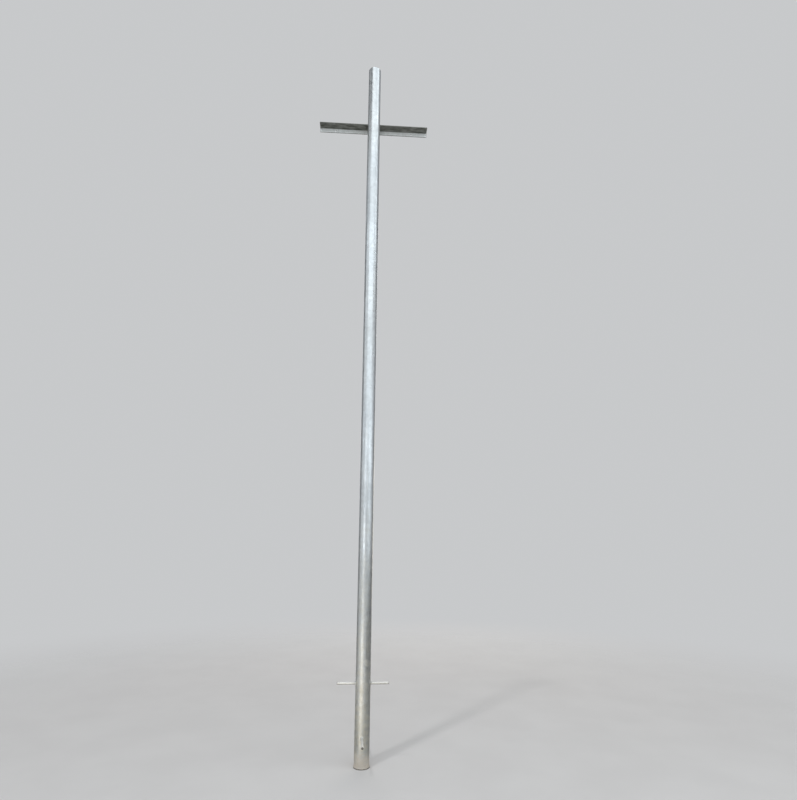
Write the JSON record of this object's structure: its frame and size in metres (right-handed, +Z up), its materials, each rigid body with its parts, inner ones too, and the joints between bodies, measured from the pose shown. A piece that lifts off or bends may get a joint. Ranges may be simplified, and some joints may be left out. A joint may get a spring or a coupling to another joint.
{
  "type": "traffic sign pole",
  "caption": "Galvanised round steel sign pole with a welded angle crossarm near the top, a flat cap, a closed foot and anchor rods through the buried end.",
  "frame": {"origin": "centre of the foot plate's underside, on the pole's axis", "axes": "+Z up the pole, X along the crossarm, +Y from the pole towards the crossarm's short leg, where the sign goes"},
  "size_m": [0.565, 0.28, 3.35],
  "materials": {
    "galvanised_tube": "hot-dip galvanised, satin",
    "galvanised_angle": "hot-dip galvanised, dull",
    "galvanised_rod": "hot-dip galvanised, satin",
    "galvanised_weld": "hot-dip galvanised over a weld bead"
  },
  "bodies": {
    "root": {"pole_tube": "galvanised_tube", "top_cap": "galvanised_tube", "cap_weld": "galvanised_weld", "foot_plate": "galvanised_tube", "foot_weld": "galvanised_weld", "crossarm": "galvanised_angle", "arm_weld_top": "galvanised_weld", "arm_weld_bottom": "galvanised_weld", "upper_anchor_rod": "galvanised_rod", "lower_anchor_rod": "galvanised_rod", "upper_weld_left": "galvanised_weld", "upper_weld_right": "galvanised_weld", "lower_weld_front": "galvanised_weld", "lower_weld_back": "galvanised_weld"}
  },
  "joints": []
}
